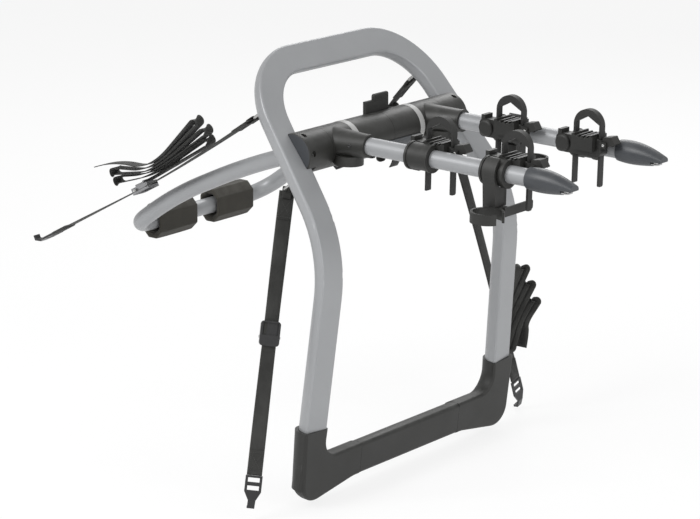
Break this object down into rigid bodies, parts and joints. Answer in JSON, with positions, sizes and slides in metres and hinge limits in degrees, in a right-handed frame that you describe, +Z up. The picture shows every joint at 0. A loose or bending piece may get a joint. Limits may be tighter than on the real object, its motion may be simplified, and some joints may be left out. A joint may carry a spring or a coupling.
{
  "type": "trunk mounted bike rack",
  "caption": "Folding trunk mounted bike rack: bent tube hoop, padded foot frame, drop-down arms with strapped bike cradles, and hooked webbing straps with cam buckles.",
  "frame": {"origin": "middle of the flat rear face of the lower crossbar's sleeve, where the rack rests on the vehicle", "axes": "+X along the hub to the rack's right, +Y to the vehicle, +Z up; the bike arms point to -Y"},
  "size_m": [0.7878, 1.0721, 0.7116],
  "materials": {
    "frame_paint": "satin silver powder coat",
    "black_plastic": "fine grained moulding",
    "hub_plastic": "fine grained moulding",
    "grey_plastic": "smooth dark blue grey moulding",
    "pale_plastic": "smooth pale grey moulding",
    "strap_rubber": "soft matte elastomer",
    "foam": "closed cell foam",
    "webbing": "woven tape",
    "hook_paint": "dark dipped coating",
    "buckle_steel": "satin zinc",
    "steel": "zinc plated"
  },
  "bodies": {
    "frame": {"main_hoop": "frame_paint", "crossbar_tube": "frame_paint", "crossbar_sleeve": "black_plastic", "boot_left": "black_plastic", "boot_right": "black_plastic", "hub_tube": "steel", "hub_cap_left": "hub_plastic", "hub_cap_right": "hub_plastic", "cap_screws": "steel", "barrel_left": "hub_plastic", "barrel_right": "hub_plastic", "ring_bands": "pale_plastic", "hub_skirt": "grey_plastic", "lever_spring": "steel", "strap_rings": "steel", "webbing_top_left": "webbing", "hook_top_left": "hook_paint", "buckle_top_left": "buckle_steel", "webbing_top_right": "webbing", "hook_top_right": "hook_paint", "buckle_top_right": "buckle_steel", "webbing_bottom_left": "webbing", "hook_bottom_left": "hook_paint", "buckle_bottom_left": "buckle_steel", "webbing_bottom_right": "webbing", "hook_bottom_right": "hook_paint", "buckle_bottom_right": "buckle_steel", "bundle_top_left": "webbing", "bundle_top_right": "webbing", "bundle_bottom_right": "webbing"},
    "pad_frame": {"pad_hoop": "frame_paint", "foam_pad_left": "foam", "foam_pad_right": "foam"},
    "release_lever": {"release_lever": "black_plastic"},
    "lock_pin_left": {"lock_pin_left": "steel"},
    "lock_pin_right": {"lock_pin_right": "steel"},
    "arm_left": {"arm_socket_left": "hub_plastic", "arm_tube_left": "frame_paint", "arm_end_cap_left": "grey_plastic", "bottle_opener_left": "steel"},
    "arm_right": {"arm_socket_right": "hub_plastic", "arm_tube_right": "frame_paint", "arm_end_cap_right": "grey_plastic", "bottle_opener_right": "steel"},
    "cradle_inner_left": {"cradle_inner_left": "black_plastic"},
    "arch_inner_left": {"arch_strap_inner_left": "strap_rubber"},
    "strap_lever_inner_left": {"strap_lever_inner_left": "black_plastic"},
    "cradle_outer_left": {"cradle_outer_left": "black_plastic"},
    "arch_outer_left": {"arch_strap_outer_left": "strap_rubber"},
    "strap_lever_outer_left": {"strap_lever_outer_left": "black_plastic"},
    "cradle_inner_right": {"cradle_inner_right": "black_plastic"},
    "arch_inner_right": {"arch_strap_inner_right": "strap_rubber"},
    "strap_lever_inner_right": {"strap_lever_inner_right": "black_plastic"},
    "cradle_outer_right": {"cradle_outer_right": "black_plastic"},
    "arch_outer_right": {"arch_strap_outer_right": "strap_rubber"},
    "strap_lever_outer_right": {"strap_lever_outer_right": "black_plastic"},
    "anti_sway_outer_left": {"anti_sway_arm_outer_left": "black_plastic", "anti_sway_strap_outer_left": "strap_rubber"},
    "anti_sway_inner_right": {"anti_sway_arm_inner_right": "black_plastic", "anti_sway_strap_inner_right": "strap_rubber"}
  },
  "joints": [
    {"name": "pad_fold", "type": "hinge", "parent": "frame", "child": "pad_frame", "pos_m": [0, 0.0405, 0.51064], "axis": [1, 0, 0], "range_deg": [-50, 30]},
    {"name": "arm_fold_left", "type": "hinge", "parent": "frame", "child": "arm_left", "pos_m": [0, 0.0405, 0.51064], "axis": [1, 0, 0], "range_deg": [0, 75]},
    {"name": "arm_fold_right", "type": "hinge", "parent": "frame", "child": "arm_right", "pos_m": [0, 0.0405, 0.51064], "axis": [1, 0, 0], "range_deg": [0, 75]},
    {"name": "lever_turn", "type": "hinge", "parent": "frame", "child": "release_lever", "pos_m": [0.015, 0.0505, 0.53967], "axis": [1, 0, 0], "range_deg": [0, 12], "stiffness_Nm_per_rad": 0.6, "springref_deg": -5.73},
    {"name": "lock_pin_slide_left", "type": "slide", "parent": "frame", "child": "lock_pin_left", "axis": [1, 0, 0], "range_m": [0, 0.007]},
    {"name": "lock_pin_slide_right", "type": "slide", "parent": "frame", "child": "lock_pin_right", "axis": [-1, 0, 0], "range_m": [0, 0.007]},
    {"name": "cradle_swivel_inner_left", "type": "hinge", "parent": "arm_left", "child": "cradle_inner_left", "pos_m": [-0.1263, -0.17144, 0.51909], "axis": [0, -0.9997, -0.0234], "range_deg": [-25, 25]},
    {"name": "arch_slide_inner_left", "type": "slide", "parent": "cradle_inner_left", "child": "arch_inner_left", "axis": [0, -0.0234, 0.9997], "range_m": [-0.01, 0.022]},
    {"name": "strap_lever_turn_inner_left", "type": "hinge", "parent": "cradle_inner_left", "child": "strap_lever_inner_left", "pos_m": [-0.1023, -0.20671, 0.53026], "axis": [-1, 0, 0], "range_deg": [0, 25]},
    {"name": "cradle_swivel_outer_left", "type": "hinge", "parent": "arm_left", "child": "cradle_outer_left", "pos_m": [-0.1263, -0.3174, 0.51567], "axis": [0, -0.9997, -0.0234], "range_deg": [-25, 25]},
    {"name": "arch_slide_outer_left", "type": "slide", "parent": "cradle_outer_left", "child": "arch_outer_left", "axis": [0, -0.0234, 0.9997], "range_m": [-0.01, 0.022]},
    {"name": "strap_lever_turn_outer_left", "type": "hinge", "parent": "cradle_outer_left", "child": "strap_lever_outer_left", "pos_m": [-0.1023, -0.35267, 0.52685], "axis": [-1, 0, 0], "range_deg": [0, 25]},
    {"name": "cradle_swivel_inner_right", "type": "hinge", "parent": "arm_right", "child": "cradle_inner_right", "pos_m": [0.1263, -0.16144, 0.51932], "axis": [0, -0.9997, -0.0234], "range_deg": [-25, 25]},
    {"name": "arch_slide_inner_right", "type": "slide", "parent": "cradle_inner_right", "child": "arch_inner_right", "axis": [0, -0.0234, 0.9997], "range_m": [-0.01, 0.022]},
    {"name": "strap_lever_turn_inner_right", "type": "hinge", "parent": "cradle_inner_right", "child": "strap_lever_inner_right", "pos_m": [0.1023, -0.19671, 0.5305], "axis": [-1, 0, 0], "range_deg": [0, 25]},
    {"name": "cradle_swivel_outer_right", "type": "hinge", "parent": "arm_right", "child": "cradle_outer_right", "pos_m": [0.1263, -0.3134, 0.51577], "axis": [0, -0.9997, -0.0234], "range_deg": [-25, 25]},
    {"name": "arch_slide_outer_right", "type": "slide", "parent": "cradle_outer_right", "child": "arch_outer_right", "axis": [0, -0.0234, 0.9997], "range_m": [-0.01, 0.022]},
    {"name": "strap_lever_turn_outer_right", "type": "hinge", "parent": "cradle_outer_right", "child": "strap_lever_outer_right", "pos_m": [0.1023, -0.34867, 0.52694], "axis": [-1, 0, 0], "range_deg": [0, 25]},
    {"name": "anti_sway_swing_outer_left", "type": "hinge", "parent": "cradle_outer_left", "child": "anti_sway_outer_left", "pos_m": [-0.1263, -0.2994, 0.51609], "axis": [0, 0.9997, 0.0234], "range_deg": [0, 30]},
    {"name": "anti_sway_swing_inner_right", "type": "hinge", "parent": "cradle_inner_right", "child": "anti_sway_inner_right", "pos_m": [0.1263, -0.14344, 0.51974], "axis": [0, -0.9997, -0.0234], "range_deg": [0, 30]}
  ],
  "couplings": [
    {"joint": "lock_pin_slide_left", "follows": "lever_turn", "m_per_rad": 0.033},
    {"joint": "lock_pin_slide_right", "follows": "lever_turn", "m_per_rad": 0.033}
  ]
}
